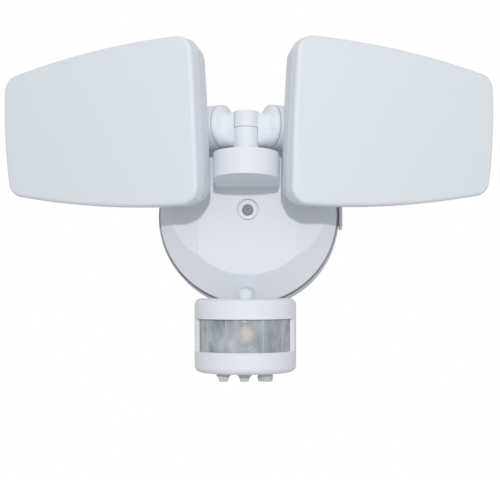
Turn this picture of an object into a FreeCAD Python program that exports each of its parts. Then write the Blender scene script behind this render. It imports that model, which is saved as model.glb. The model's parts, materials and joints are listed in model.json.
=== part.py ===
"""Motion sensor security light: a round wall base, two panning and tilting lamp heads, one sensor.

Row frame: the origin is the centre of the wall plate's back face, which lies on the wall (y = 0).
+X is to the right seen from the front, -Y points out of the wall and +Z points up.
"""

import FreeCAD
import Part
import Sketcher
import math
import os

from FreeCAD import Placement, Rotation, Vector

# Driving dimensions in millimetres and degrees: alias, value.
SIZES = (
    # wall plate and what is in it
    ("plate_radius", 60.8),
    ("plate_depth", 14.0),
    ("plate_floor", 3.0),
    ("plate_wall", 3.5),
    ("plate_chamfer", 1.2),
    ("box_screw_spacing", 88.9),
    ("slot_width", 4.6),
    ("slot_length", 10.0),
    ("wall_gasket_inset", 4.8),
    ("wall_gasket_width", 4.5),
    ("wall_gasket_depth", 1.5),
    ("entry_radius", 7.0),
    ("entry_drop", 24.0),
    ("grommet_wall", 2.0),
    ("boss_radius", 6.5),
    ("clip_height", 16.0),
    ("clip_thickness", 2.2),
    ("clip_depth", 12.0),
    ("driver_width", 58.0),
    ("driver_height", 24.0),
    ("driver_depth", 15.0),
    ("driver_rise", 24.0),
    ("lug_length", 8.0),
    ("lug_thickness", 2.0),
    ("terminal_width", 26.0),
    ("terminal_height", 9.0),
    ("terminal_depth", 10.0),
    ("terminal_drop", 41.0),
    # cover over the plate
    ("cover_gasket_depth", 1.2),
    ("cover_gasket_reach", 1.0),
    ("plate_reveal", 1.8),
    ("lip_depth", 5.0),
    ("bevel_depth", 11.8),
    ("face_radius", 46.1),
    ("face_rise", 4.6),
    ("cover_wall", 2.5),
    ("panel_half_width", 32.4),
    ("facet_angle", 14.0),
    ("recess_radius", 7.25),
    ("recess_depth", 2.6),
    ("seal_radius", 6.1),
    ("seal_depth", 1.1),
    ("bolt_radius", 2.4),
    ("bolt_head_radius", 3.75),
    ("bolt_head_depth", 2.8),
    ("bolt_cross_depth", 0.9),
    ("bolt_length", 23.0),
    ("bolt_rise", 1.6),
    # bracket that carries the heads
    ("pivot_reach", 60.0),
    ("tilt_height", 52.4),
    ("bracket_radius", 21.0),
    ("bracket_bottom", 16.6),
    ("bracket_height", 16.5),
    ("bracket_floor", 2.0),
    ("pivot_radius", 2.95),
    ("pivot_head_radius", 6.0),
    ("pivot_head_depth", 3.2),
    ("nut_across", 10.0),
    ("nut_depth", 4.0),
    ("cap_depth", 2.0),
    ("post_radius", 8.2),
    ("seam_height", 49.2),
    ("post_height", 59.7),
    ("running_gap", 0.3),
    ("shaft_gap", 0.05),
    # tilt joint of each head
    ("pan_angle", 25.0),
    ("head_pitch", 5.5),
    ("disc_start", 15.0),
    ("disc_radius", 13.9),
    ("disc_thickness", 3.4),
    ("hub_radius", 7.3),
    ("hub_depth", 2.7),
    ("neck_front", 1.0),
    ("neck_rear", 7.0),
    ("neck_half_height", 6.5),
    ("neck_drop", 12.0),
    ("knuckle_wall", 5.0),
    ("knuckle_length", 26.0),
    ("knuckle_bore", 8.5),
    ("tilt_bolt_radius", 2.5),
    ("tilt_head_across", 8.0),
    ("tilt_head_depth", 3.5),
    ("washer_radius", 5.5),
    ("washer_depth", 1.0),
    ("plug_depth", 2.5),
    ("flange_start", 27.0),
    ("flange_end", 57.0),
    ("flange_half_height", 19.0),
    ("flange_depth", 3.0),
    # lamp heads
    ("head_start", 17.9),
    ("head_end", 161.1),
    ("head_inner_half", 52.6),
    ("head_outer_half", 38.8),
    ("head_rise", 0.8),
    ("head_lift", 3.3),
    ("head_bulge", 4.4),
    ("head_end_bulge", 2.4),
    ("head_back", 14.4),
    ("housing_depth", 12.0),
    ("housing_taper", 2.6),
    ("housing_wall", 2.4),
    ("head_gasket_depth", 0.8),
    ("head_gasket_width", 1.6),
    ("diffuser_depth", 10.0),
    ("diffuser_wall", 2.2),
    ("diffuser_edge", 2.6),
    ("inner_corner", 11.5),
    ("outer_corner", 10.5),
    ("lamp_screw_inset", 12.0),
    ("lamp_screw_end", 14.4),
    ("lamp_boss_radius", 3.4),
    ("small_screw_radius", 1.4),
    ("small_head_radius", 2.8),
    ("small_head_depth", 1.8),
    ("led_board_margin", 22.0),
    ("led_board_half_height", 28.0),
    ("led_board_depth", 1.6),
    ("led_size", 3.0),
    ("led_depth", 0.8),
    ("led_end_margin", 7.6),
    ("led_side_margin", 10.0),
    # sensor arm and swivel
    ("arm_start_depth", 16.6),
    ("arm_start_drop", 51.0),
    ("arm_end_drop", 59.0),
    ("arm_radius", 4.2),
    ("arm_bore", 2.5),
    ("arm_nut_across", 10.0),
    ("arm_nut_depth", 2.4),
    ("sensor_reach", 66.0),
    ("eye_radius", 5.25),
    ("eye_bottom_drop", 64.3),
    ("swivel_radius", 1.95),
    ("swivel_half_width", 2.9),
    ("swivel_half_depth", 4.6),
    ("swivel_slot_gap", 2.4),
    ("sensor_pivot_drop", 69.0),
    ("sensor_pin_radius", 1.5),
    ("sensor_pitch", 6.0),
    # sensor head
    ("sensor_radius", 31.7),
    ("sensor_top", 9.0),
    ("sensor_bottom", 36.8),
    ("sensor_wall", 2.0),
    ("sensor_shoulder", 4.0),
    ("window_top", 3.3),
    ("window_bottom", 23.5),
    ("window_half_angle", 75.0),
    ("jamb_half_angle", 69.4),
    ("lens_wall", 1.0),
    ("lens_lap", 2.5),
    ("lens_half_angle", 78.0),
    ("top_recess_depth", 7.0),
    ("top_recess_radius", 14.0),
    ("top_recess_behind", 5.0),
    ("board_thickness", 1.6),
    ("sensor_board_width", 40.0),
    ("sensor_board_height", 22.0),
    ("sensor_board_forward", 4.0),
    ("detector_radius", 4.6),
    ("detector_depth", 4.4),
    ("detector_rim", 1.1),
    ("indicator_radius", 1.5),
    ("indicator_depth", 3.2),
    ("indicator_drop", 7.2),
    ("dial_board_gap", 3.4),
    ("dial_board_rise", 8.0),
    ("dial_spacing", 12.8),
    ("dial_forward", 15.0),
    ("dial_body", 6.5),
    ("dial_body_depth", 4.0),
    ("dial_shaft_radius", 1.4),
    ("knob_skirt_radius", 4.5),
    ("knob_skirt_depth", 1.4),
    ("knob_bar_width", 5.6),
    ("knob_bar_length", 8.4),
    ("knob_bar_depth", 3.2),
    ("sensor_screw_spread", 19.0),
    ("sensor_screw_back", 14.0),
)

# Proportions: what follows another size instead of being one itself.
CROSS_LENGTH = 0.6        # half length of a cross recess, per head radius
CROSS_WIDTH = 0.12        # half width of a cross recess, per head radius
BLIND_DEPTH = 0.6         # depth of a blind hole, per thickness of what it is in
BOLT_CLEARANCE = 1.15     # radius of the cover's bolt hole, per bolt radius
SCREW_INSET = 1.6         # distance of a small screw from an edge, per head radius
BRACKET_SCREW_X = 0.6     # place of a bracket screw, per bracket radius
BRACKET_SCREW_DEPTH = 0.4  # how far a bracket screw bites, per bracket radius
CAP_OVER_NUT = 0.66       # radius of the pivot cap, per width of the nut
ARM_DUCT_STOP = 1.6       # wall left at the end of the arm's duct, per eye radius
PIN_REACH = 3.0           # half length of the sensor's tilt pin, per half width of the tongue
CHEEK_RADIUS = 2.4        # half size of the cheeks that hold the pin, per pin radius
DIAL_HOLE = 2.0           # radius of a knob's hole in the shell, per shaft radius
SHAFT_LAP = 0.1           # how far a knob's shaft goes into its dial, per dial depth
BEYOND = 1.2              # reach of a cutting outline past the part, per part radius

LED_COLUMNS, LED_LINES = 8, 4


class Size:
    """A number together with the sheet expression that gives it."""

    def __init__(self, number, text):
        self.number = float(number)
        self.text = text

    def __add__(self, other):
        other = as_size(other)
        return Size(self.number + other.number, f"({self.text} + {other.text})")

    def __sub__(self, other):
        other = as_size(other)
        return Size(self.number - other.number, f"({self.text} - {other.text})")

    def __rsub__(self, other):
        return as_size(other) - self

    def __mul__(self, other):
        other = as_size(other)
        return Size(self.number * other.number, f"({self.text} * {other.text})")

    def __truediv__(self, other):
        other = as_size(other)
        return Size(self.number / other.number, f"({self.text} / {other.text})")

    def __neg__(self):
        return Size(-self.number, f"(0 - {self.text})")

    __radd__ = __add__
    __rmul__ = __mul__


def as_size(value):
    """A plain number as a Size, and a Size as it is."""
    return value if isinstance(value, Size) else Size(value, f"({value!r})")


doc = FreeCAD.newDocument("motion_sensor_light")
sheet = doc.addObject("Spreadsheet::Sheet", "Sizes")
S = type("Sizes", (), {})()
for row, (alias, number) in enumerate(SIZES, start=1):
    sheet.set(f"A{row}", alias)
    sheet.set(f"B{row}", str(number))
    sheet.setAlias(f"B{row}", alias)
    setattr(S, alias, Size(number, f"Sizes.{alias}"))
doc.recompute()

sub_parts = []

FRONT = Rotation(Vector(1, 0, 0), 90)      # local z out of the wall, local y up
ALONG_ARM = Rotation(Vector(1, 1, 1), 120)  # local z along X, local y up, local x to the back
HALF_TURN = Rotation(Vector(0, 1, 0), 180)
WALL_FRAME = Placement(Vector(), FRONT)
BOLT_FRAME = Placement(Vector(0, 0, S.bolt_rise.number), FRONT)
HEX_CORNERS = [(math.cos(math.radians(60 * k)), math.sin(math.radians(60 * k))) for k in range(6)]


# --- modelling helpers ---------------------------------------------------------------------------

def bind(target, name, value):
    """Ties one property of an object to the sheet."""
    target.setExpression(name, as_size(value).text)


def new_body(label, placement):
    """An empty body for one sub-part."""
    body = doc.addObject("PartDesign::Body", label)
    body.Label = label
    body.AllowCompound = True
    body.Placement = placement
    sub_parts.append(body)
    return body


def new_sketch(body, height=0, role="XY_Plane"):
    """An empty sketch on an origin plane of the body, moved along the plane's normal."""
    sketch = body.newObject("Sketcher::SketchObject", f"{body.Label}_sketch")
    plane = next(part for part in body.Origin.OriginFeatures if part.Role == role)
    sketch.AttachmentSupport = [(plane, "")]
    sketch.MapMode = "FlatFace"
    bind(sketch, "AttachmentOffset.Base.z", height)
    return sketch


def fix_point(sketch, geometry, end, x, y):
    """Holds one point of a sketch at x, y; a coordinate of exactly 0 puts it on the axis."""
    for value, kind, axis in ((as_size(x), "DistanceX", -2), (as_size(y), "DistanceY", -1)):
        if value.text == "(0)":
            sketch.addConstraint(Sketcher.Constraint("PointOnObject", geometry, end, axis))
        else:
            index = sketch.addConstraint(
                Sketcher.Constraint(kind, -1, 1, geometry, end, value.number))
            bind(sketch, f"Constraints[{index}]", value)


def add_circle(sketch, x, y, radius):
    """A circle held by its centre and radius."""
    centre = Vector(as_size(x).number, as_size(y).number, 0)
    circle = sketch.addGeometry(Part.Circle(centre, Vector(0, 0, 1), as_size(radius).number))
    fix_point(sketch, circle, 3, x, y)
    index = sketch.addConstraint(Sketcher.Constraint("Radius", circle, as_size(radius).number))
    bind(sketch, f"Constraints[{index}]", radius)


def add_outline(sketch, corners):
    """A closed outline; a corner (x, y, (mx, my)) starts an arc through mx, my to the next one."""
    points = [Vector(as_size(corner[0]).number, as_size(corner[1]).number, 0) for corner in corners]
    edges = []
    for corner, start, end in zip(corners, points, points[1:] + points[:1]):
        if len(corner) == 2:
            edges.append(sketch.addGeometry(Part.LineSegment(start, end)))
            continue
        middle = Vector(as_size(corner[2][0]).number, as_size(corner[2][1]).number, 0)
        edge = sketch.addGeometry(Part.Arc(start, middle, end))
        first = sketch.Geometry[edge].StartPoint
        backwards = first.distanceToPoint(start) > first.distanceToPoint(end)
        edges.append(-edge - 1 if backwards else edge)
        point = sketch.addGeometry(Part.Point(middle), True)
        fix_point(sketch, point, 1, *corner[2])
        sketch.addConstraint(Sketcher.Constraint("PointOnObject", point, 1, edge))
    starts = [(edge, 1) if edge >= 0 else (-edge - 1, 2) for edge in edges]
    ends = [(edge, 2) if edge >= 0 else (-edge - 1, 1) for edge in edges]
    for corner, start, end in zip(corners, starts, ends[-1:] + ends[:-1]):
        sketch.addConstraint(Sketcher.Constraint("Coincident", *end, *start))
        fix_point(sketch, *start, corner[0], corner[1])


def add_rectangle(sketch, left, right, bottom, top):
    """An upright rectangle."""
    add_outline(sketch, [(left, bottom), (right, bottom), (right, top), (left, top)])


def add_hexagon(sketch, x, y, across):
    """A hexagon given by its width across the flats."""
    corner = as_size(across) * (1 / math.sqrt(3))
    add_outline(sketch, [(corner * cosine + x, corner * sine + y) for cosine, sine in HEX_CORNERS])


def extrude(body, sketch, length, kind="Pad"):
    """Pads or pockets a sketch; a pocket goes down from its sketch, a pad goes up."""
    feature = body.newObject(f"PartDesign::{kind}", f"{body.Label}_{kind.lower()}")
    feature.Profile = sketch
    bind(feature, "Length", length)
    sketch.Visibility = False
    return feature


def pad_circle(body, height, length, *circles):
    """Pads circles given as x, y, radius; a smaller one inside another leaves a hole."""
    sketch = new_sketch(body, height)
    for circle in circles:
        add_circle(sketch, *circle)
    return extrude(body, sketch, length)


def cut_circle(body, height, length, *circles):
    """Cuts round holes down from the given height."""
    sketch = new_sketch(body, height)
    for circle in circles:
        add_circle(sketch, *circle)
    return extrude(body, sketch, length, "Pocket")


def pad_box(body, height, length, *rectangles):
    """Pads rectangles given as left, right, bottom, top."""
    sketch = new_sketch(body, height)
    for rectangle in rectangles:
        add_rectangle(sketch, *rectangle)
    return extrude(body, sketch, length)


def cut_box(body, height, length, *rectangles):
    """Cuts rectangular holes down from the given height."""
    sketch = new_sketch(body, height)
    for rectangle in rectangles:
        add_rectangle(sketch, *rectangle)
    return extrude(body, sketch, length, "Pocket")


def turn_profile(body, corners):
    """Turns a profile of (radius, height) corners about the body's z axis."""
    sketch = new_sketch(body, 0, "XZ_Plane")
    add_outline(sketch, corners)
    feature = body.newObject("PartDesign::Revolution", f"{body.Label}_turned")
    feature.Profile = sketch
    feature.ReferenceAxis = (sketch, ["V_Axis"])
    feature.Angle = 360
    sketch.Visibility = False


def round_edges(body, feature, radius, wanted):
    """Rounds the edges whose bounding box passes the test."""
    doc.recompute()
    names = [f"Edge{index}" for index, edge in enumerate(feature.Shape.Edges, start=1)
             if wanted(edge.BoundBox)]
    fillet = body.newObject("PartDesign::Fillet", f"{body.Label}_fillet")
    fillet.Base = (feature, names)
    bind(fillet, "Radius", radius)
    return fillet


def hollow_out(body, feature, wall, wanted):
    """Leaves a wall inside the shape, open at the faces whose bounding box passes the test."""
    doc.recompute()
    names = [f"Face{index}" for index, face in enumerate(feature.Shape.Faces, start=1)
             if wanted(face.BoundBox)]
    shell = body.newObject("PartDesign::Thickness", f"{body.Label}_shell")
    shell.Base = (feature, names)
    shell.Reversed = True
    bind(shell, "Value", wall)
    return shell


def add_screws(label, placement, points, head_bottom, shaft_length):
    """Small cross-recessed screws with their heads up at head_bottom, as one group."""
    body = new_body(label, placement)
    pad_circle(body, head_bottom, S.small_head_depth,
               *[(x, y, S.small_head_radius) for x, y in points])
    pad_circle(body, head_bottom - shaft_length, shaft_length,
               *[(x, y, S.small_screw_radius) for x, y in points])
    cross_long = S.small_head_radius * CROSS_LENGTH
    cross_thin = S.small_head_radius * CROSS_WIDTH
    for half_x, half_y in ((cross_long, cross_thin), (cross_thin, cross_long)):
        cut_box(body, head_bottom + S.small_head_depth, S.small_head_depth / 2,
                *[(x - half_x, x + half_x, y - half_y, y + half_y) for x, y in points])


def flat_at(height):
    """A test for faces or edges that lie flat at one local z."""
    return lambda box: abs(box.ZMin - height) < 1e-3 and abs(box.ZMax - height) < 1e-3


def across_depth(box):
    """A test for edges that run along local z."""
    return box.ZLength > max(box.XLength, box.YLength)


# --- wall plate and what is on it ----------------------------------------------------------------

cover_radius = S.plate_radius - S.plate_reveal
cover_back = S.plate_depth + S.cover_gasket_depth
cover_front = cover_back + S.lip_depth + S.bevel_depth
recess_floor = cover_front - S.recess_depth
facet_slope = Size(math.tan(math.radians(S.facet_angle.number)), f"tan({S.facet_angle.text})")
ceiling_radius = S.face_radius - S.cover_wall * 2
ceiling = cover_front - S.cover_wall - facet_slope * (ceiling_radius - S.panel_half_width)
lug_x = S.driver_width / 2 + S.lug_length / 2
bracket_screw_x = S.bracket_radius * BRACKET_SCREW_X
bracket_screw_height = S.bracket_bottom + S.bracket_height / 2
bracket_screw_bite = S.bracket_radius * BRACKET_SCREW_DEPTH
driver_base = S.plate_floor
wall_gasket_outer = S.plate_radius - S.wall_gasket_inset
wall_gasket_inner = wall_gasket_outer - S.wall_gasket_width


def build_wall_plate():
    """Round cup on the wall: chamfered rim, box screw slots, cable hole, boss, gasket groove."""
    body = new_body("wall_plate", WALL_FRAME)
    rim, slope = S.plate_radius, S.plate_chamfer
    turn_profile(body, [(0, 0), (rim, 0), (rim, S.plate_depth - slope),
                        (rim - slope, S.plate_depth), (0, S.plate_depth)])
    cut_circle(body, S.plate_depth, S.plate_depth - S.plate_floor,
               (0, 0, S.plate_radius - S.plate_wall))
    pad_circle(body, S.plate_floor, ceiling - S.plate_floor, (0, S.bolt_rise, S.boss_radius))
    cut_circle(body, ceiling, S.bolt_length, (0, S.bolt_rise, S.bolt_radius))
    cut_circle(body, S.plate_floor, S.plate_floor,
               (0, -S.entry_drop, S.entry_radius + S.grommet_wall))
    cut_circle(body, S.plate_floor, S.plate_floor * BLIND_DEPTH,
               *[(sign * lug_x, S.driver_rise, S.small_screw_radius) for sign in (-1, 1)])
    groove = new_sketch(body, S.wall_gasket_depth)
    add_circle(groove, 0, 0, wall_gasket_inner)
    add_circle(groove, 0, 0, wall_gasket_outer)
    extrude(body, groove, S.wall_gasket_depth, "Pocket")
    slots = new_sketch(body, S.plate_floor)
    half = S.slot_length / 2 - S.slot_width / 2
    for sign in (-1, 1):
        middle = sign * S.box_screw_spacing / 2
        low, high, side = middle - half, middle + half, S.slot_width / 2
        add_outline(slots, [(low, -side), (high, -side, (high + side, 0)), (high, side),
                            (low, side, (low - side, 0))])
    extrude(body, slots, S.plate_floor, "Pocket")
    cut_box(body, S.plate_floor + S.clip_depth / 2 + S.plate_wall, S.plate_wall,
            (S.plate_radius - S.plate_wall * 1.5, S.plate_radius + 1,
             -S.clip_height / 4, S.clip_height / 4))


def build_wall_gasket():
    """Foam ring, flush in the groove of the plate's back."""
    body = new_body("wall_gasket", WALL_FRAME)
    pad_circle(body, 0, S.wall_gasket_depth, (0, 0, wall_gasket_inner), (0, 0, wall_gasket_outer))


def build_cable_grommet():
    """Rubber bush that lines the cable hole, with a collar on the inside."""
    body = new_body("cable_grommet", WALL_FRAME)
    centre = (0, -S.entry_drop)
    outer = S.entry_radius + S.grommet_wall
    pad_circle(body, 0, S.plate_floor, (*centre, S.entry_radius), (*centre, outer))
    pad_circle(body, S.plate_floor, S.grommet_wall, (*centre, S.entry_radius),
               (*centre, outer + S.grommet_wall))


def build_side_clip():
    """Spring clip on the plate's right side, with a foot through the plate's wall."""
    body = new_body("side_clip", WALL_FRAME)
    low = S.plate_floor + S.clip_depth / 2
    reach = S.plate_radius + S.clip_thickness
    rear = S.plate_radius - S.plate_wall
    outside = S.plate_radius + S.shaft_gap
    half = S.clip_height / 2
    pad_box(body, S.plate_floor, S.clip_depth, (outside, reach, -half, half))
    pad_box(body, low, S.plate_wall, (rear, outside, -half / 2, half / 2))


def build_driver_box():
    """Potted driver with two screw lugs on the plate's floor."""
    body = new_body("driver_box", WALL_FRAME)
    half = S.driver_width / 2
    low = S.driver_rise - S.driver_height / 2
    high = S.driver_rise + S.driver_height / 2
    pad_box(body, driver_base, S.driver_depth, (-half, half, low, high))
    reach = half + S.lug_length
    lug_low = S.driver_rise - S.lug_length / 2
    pad_box(body, driver_base, S.lug_thickness, (-reach, reach, lug_low, lug_low + S.lug_length))
    cut_circle(body, driver_base + S.lug_thickness, S.lug_thickness,
               *[(sign * lug_x, S.driver_rise, S.small_screw_radius) for sign in (-1, 1)])


def build_terminal_block():
    """Three-way terminal block for the supply leads, with open screw wells."""
    body = new_body("terminal_block", WALL_FRAME)
    half = S.terminal_width / 2
    low = -S.terminal_drop - S.terminal_height / 2
    pad_box(body, S.plate_floor, S.terminal_depth, (-half, half, low, low + S.terminal_height))
    cut_circle(body, S.plate_floor + S.terminal_depth, S.terminal_depth * BLIND_DEPTH,
               *[(step * S.terminal_width / 3, -S.terminal_drop, S.terminal_height / 4)
                 for step in (-1, 0, 1)])


# --- cover ---------------------------------------------------------------------------------------

def add_cone(body, kind, back, front, back_radius, front_radius, rise):
    """Oblique cone between a circle on the axis and a smaller one raised above it."""
    lower = new_sketch(body, back)
    add_circle(lower, 0, 0, back_radius)
    upper = new_sketch(body, front)
    add_circle(upper, 0, rise, front_radius)
    loft = body.newObject(f"PartDesign::{kind}", f"{body.Label}_cone")
    loft.Profile = lower
    loft.Sections = [upper]
    loft.Ruled = True
    return loft


def build_base_cover():
    """Bevelled round cover: flat centre panel, two side facets and a recess for its bolt."""
    body = new_body("base_cover", WALL_FRAME)
    lip_top = cover_back + S.lip_depth
    pad_circle(body, cover_back, S.lip_depth, (0, 0, cover_radius))
    add_cone(body, "AdditiveLoft", lip_top, cover_front, cover_radius, S.face_radius, S.face_rise)
    cut_circle(body, lip_top, S.lip_depth, (0, 0, cover_radius - S.cover_wall))
    add_cone(body, "SubtractiveLoft", lip_top, ceiling, cover_radius - S.cover_wall,
             ceiling_radius, S.face_rise)
    for sign in (-1, 1):
        facet = new_sketch(body, -cover_radius, "XZ_Plane")
        outer = cover_radius * BEYOND
        add_outline(facet, [(sign * S.panel_half_width, cover_front),
                            (sign * outer, cover_front - facet_slope * (outer - S.panel_half_width)),
                            (sign * outer, cover_front + 1),
                            (sign * S.panel_half_width, cover_front + 1)])
        extrude(body, facet, cover_radius * 2, "Pocket").Reversed = True
    cut_circle(body, cover_front, S.recess_depth, (0, S.bolt_rise, S.recess_radius))
    cut_circle(body, recess_floor, recess_floor - ceiling,
               (0, S.bolt_rise, S.bolt_radius * BOLT_CLEARANCE))
    cut_circle(body, cover_front, cover_front - ceiling,
               *[(sign * bracket_screw_x, bracket_screw_height, S.small_screw_radius)
                 for sign in (-1, 1)])
    return body


def build_cover_gasket():
    """Dark seal between the plate's rim and the cover's lip, a little wider than the cover."""
    body = new_body("cover_gasket", WALL_FRAME)
    outer = cover_radius + S.cover_gasket_reach
    pad_circle(body, S.plate_depth, S.cover_gasket_depth, (0, 0, outer),
               (0, 0, S.plate_radius - S.plate_wall))


def build_cover_bolt():
    """Domed bolt through the middle of the cover into the plate's boss, with a cross recess."""
    body = new_body("cover_bolt", BOLT_FRAME)
    seat = recess_floor + S.seal_depth
    crown = seat + S.bolt_head_depth
    edge = S.bolt_head_radius
    head = pad_circle(body, seat, S.bolt_head_depth, (0, 0, edge))
    round_edges(body, head, S.bolt_head_depth / 2, flat_at(crown.number))
    pad_circle(body, seat - S.bolt_length, S.bolt_length, (0, 0, S.bolt_radius))
    for share_x, share_y in ((CROSS_LENGTH, CROSS_WIDTH), (CROSS_WIDTH, CROSS_LENGTH)):
        cut_box(body, crown, S.bolt_cross_depth,
                (-edge * share_x, edge * share_x, -edge * share_y, edge * share_y))


def build_bolt_seal():
    """White ring under the bolt's head."""
    body = new_body("bolt_seal", BOLT_FRAME)
    pad_circle(body, recess_floor, S.seal_depth, (0, 0, S.seal_radius),
               (0, 0, S.bolt_radius + S.shaft_gap))


# --- bracket and pan pivot -----------------------------------------------------------------------

PIVOT = Vector(0, -S.pivot_reach.number, S.tilt_height.number)
bracket_top = S.bracket_bottom + S.bracket_height
post_top = S.post_height - S.tilt_height
nut_bottom = post_top - S.cap_depth - S.nut_depth - S.running_gap
cap_radius = S.nut_across * CAP_OVER_NUT
stud_seat = S.bracket_bottom + S.bracket_floor + S.pivot_head_depth
pivot_bottom = stud_seat - S.tilt_height


def build_head_bracket():
    """Tongue that stands out of the cover, round at its end, moulded round the pan bolt's head."""
    body = new_body("head_bracket", Placement(Vector(0, -S.pivot_reach.number, 0), Rotation()))
    sketch = new_sketch(body, S.bracket_bottom)
    root = S.pivot_reach - cover_front
    edge = S.bracket_radius
    add_outline(sketch, [(edge, root), (-edge, root), (-edge, 0, (0, -edge)), (edge, 0)])
    extrude(body, sketch, S.bracket_height)
    cut_circle(body, bracket_top, bracket_top - stud_seat, (0, 0, S.pivot_radius))
    cut_circle(body, stud_seat, S.pivot_head_depth, (0, 0, S.pivot_head_radius))
    holes = new_sketch(body, -root, "XZ_Plane")
    for sign in (-1, 1):
        add_circle(holes, sign * bracket_screw_x, bracket_screw_height, S.small_screw_radius)
    extrude(body, holes, bracket_screw_bite * BOLT_CLEARANCE, "Pocket").Reversed = True


def build_pivot():
    """Pan bolt up through the bracket and both yokes, its nut and the cap over the nut."""
    frame = Placement(PIVOT, Rotation())
    bolt = new_body("pivot_bolt", frame)
    pad_circle(bolt, pivot_bottom - S.pivot_head_depth, S.pivot_head_depth,
               (0, 0, S.pivot_head_radius))
    length = nut_bottom + S.nut_depth - pivot_bottom
    pad_circle(bolt, pivot_bottom, length, (0, 0, S.pivot_radius))
    nut = new_body("pivot_nut", frame)
    sketch = new_sketch(nut, nut_bottom)
    add_hexagon(sketch, 0, 0, S.nut_across)
    add_circle(sketch, 0, 0, S.pivot_radius)
    extrude(nut, sketch, S.nut_depth)
    cap = new_body("pivot_cap", frame)
    pad_circle(cap, post_top - S.cap_depth, S.cap_depth, (0, 0, cap_radius))


# --- one side: yoke, tilt joint and lamp head ----------------------------------------------------

tilt_bolt_tip = S.disc_start - S.hub_depth / 2
knuckle_start = S.disc_start + S.disc_thickness + S.running_gap
wall_end = knuckle_start + S.knuckle_wall
knuckle_end = knuckle_start + S.knuckle_length
housing_front = S.head_back + S.housing_depth
diffuser_back = housing_front + S.head_gasket_depth
diffuser_front = diffuser_back + S.diffuser_depth
board_back = S.head_back + S.housing_depth - S.led_board_depth * 2


def side_rotation(sign):
    """Turns the right-hand frame to one side: the pan angle, and half a turn on the left."""
    pan = Rotation(Vector(0, 0, 1), sign * S.pan_angle.number)
    return pan if sign > 0 else pan.multiply(HALF_TURN)


def head_outline(sketch, sign, inset):
    """Outline of a head seen from the front: tall at the pivot end, every side slightly convex.

    The far end stands a little higher than the pivot end; local y points down on the left.
    """
    left, right = S.head_start + inset, S.head_end - inset
    tall, short = S.head_inner_half - inset, S.head_outer_half - inset
    middle, average = (left + right) / 2, (tall + short) / 2
    rise, lift = S.head_rise * sign, S.head_lift * sign
    halfway = (rise + lift) / 2
    add_outline(sketch, [
        (left, rise - tall, (middle, halfway - average - S.head_bulge)),
        (right, lift - short, (right + S.head_end_bulge, lift)),
        (right, lift + short, (middle, halfway + average + S.head_bulge)),
        (left, rise + tall, (left - S.head_end_bulge / 3, rise))])


def round_corners(body, feature):
    """Rounds the four corners of a head, wider at the tall end."""
    middle = (S.head_start.number + S.head_end.number) / 2
    tall = round_edges(body, feature, S.inner_corner,
                       lambda box: across_depth(box) and box.XMax < middle)
    return round_edges(body, tall, S.outer_corner,
                       lambda box: across_depth(box) and box.XMin > middle
                       and box.XMin > S.head_end.number - S.outer_corner.number)


def lamp_screw_points(sign):
    """Places of the four screws that hold a housing and its diffuser together."""
    inner, outer = S.head_start + S.lamp_screw_end, S.head_end - S.lamp_screw_end
    tall, short = S.head_inner_half - S.lamp_screw_inset, S.head_outer_half - S.lamp_screw_inset
    rise, lift = S.head_rise * sign, S.head_lift * sign
    return [(inner, rise + tall), (inner, rise - tall), (outer, lift + short), (outer, lift - short)]


def flange_screw_points():
    """Places of the four screws that hold the knuckle's flange on the housing."""
    inset = S.small_head_radius * SCREW_INSET
    high = S.flange_half_height - inset
    return [(x, sign * high) for x in (S.flange_start + inset, S.flange_end - inset)
            for sign in (-1, 1)]


def board_screw_points():
    """Places of the two screws of the LED board, on its centre line."""
    inset = S.led_board_margin + S.small_head_radius * SCREW_INSET
    return [(S.head_start + inset + S.flange_end - S.flange_start, 0), (S.head_end - inset, 0)]


def build_yoke(side, sign, ring_start, ring_end, neck_end):
    """Ring round the pan bolt, a neck behind it and the dished tilt disc; left, y points down."""
    body = new_body(f"{side}_yoke", Placement(PIVOT, side_rotation(sign).multiply(ALONG_ARM)))
    ring = new_sketch(body, -ring_start, "XZ_Plane")
    add_circle(ring, 0, 0, S.post_radius)
    extrude(body, ring, ring_end - ring_start).Reversed = True
    inside = S.pivot_radius + S.running_gap * 2
    outside = S.post_radius + S.running_gap * 2
    front, rear = -S.neck_front, S.neck_rear
    pad_box(body, inside, S.disc_start - inside, (front, rear, ring_start, neck_end))
    pad_box(body, outside, S.disc_start - outside, (front, rear, -S.neck_half_height, neck_end))
    pad_circle(body, S.disc_start, S.disc_thickness, (0, 0, S.disc_radius))
    add_cone(body, "AdditiveLoft", S.disc_start - S.hub_depth, S.disc_start, S.hub_radius,
             S.disc_radius, 0)
    bore = new_sketch(body, -ring_start, "XZ_Plane")
    add_circle(bore, 0, 0, S.pivot_radius + S.shaft_gap)
    extrude(body, bore, ring_end - ring_start, "Pocket")
    if sign > 0:
        pocket = new_sketch(body, -post_top, "XZ_Plane")
        add_circle(pocket, 0, 0, cap_radius)
        extrude(body, pocket, post_top - nut_bottom + S.running_gap, "Pocket").Reversed = True
    thread = S.disc_start + S.disc_thickness
    cut_circle(body, thread, thread - tilt_bolt_tip, (0, 0, S.tilt_bolt_radius))


def build_tilt_bolt(side, sign):
    """Tilt bolt from inside the knuckle into the yoke, with its spring washer."""
    frame = Placement(PIVOT, side_rotation(sign).multiply(ALONG_ARM))
    bolt = new_body(f"{side}_tilt_bolt", frame)
    seat = wall_end + S.running_gap + S.washer_depth
    pad_circle(bolt, tilt_bolt_tip, seat - tilt_bolt_tip, (0, 0, S.tilt_bolt_radius))
    head = new_sketch(bolt, seat)
    add_hexagon(head, 0, 0, S.tilt_head_across)
    extrude(bolt, head, S.tilt_head_depth)
    washer = new_body(f"{side}_tilt_washer", frame)
    pad_circle(washer, wall_end + S.running_gap, S.washer_depth, (0, 0, S.washer_radius),
               (0, 0, S.tilt_bolt_radius))


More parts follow.
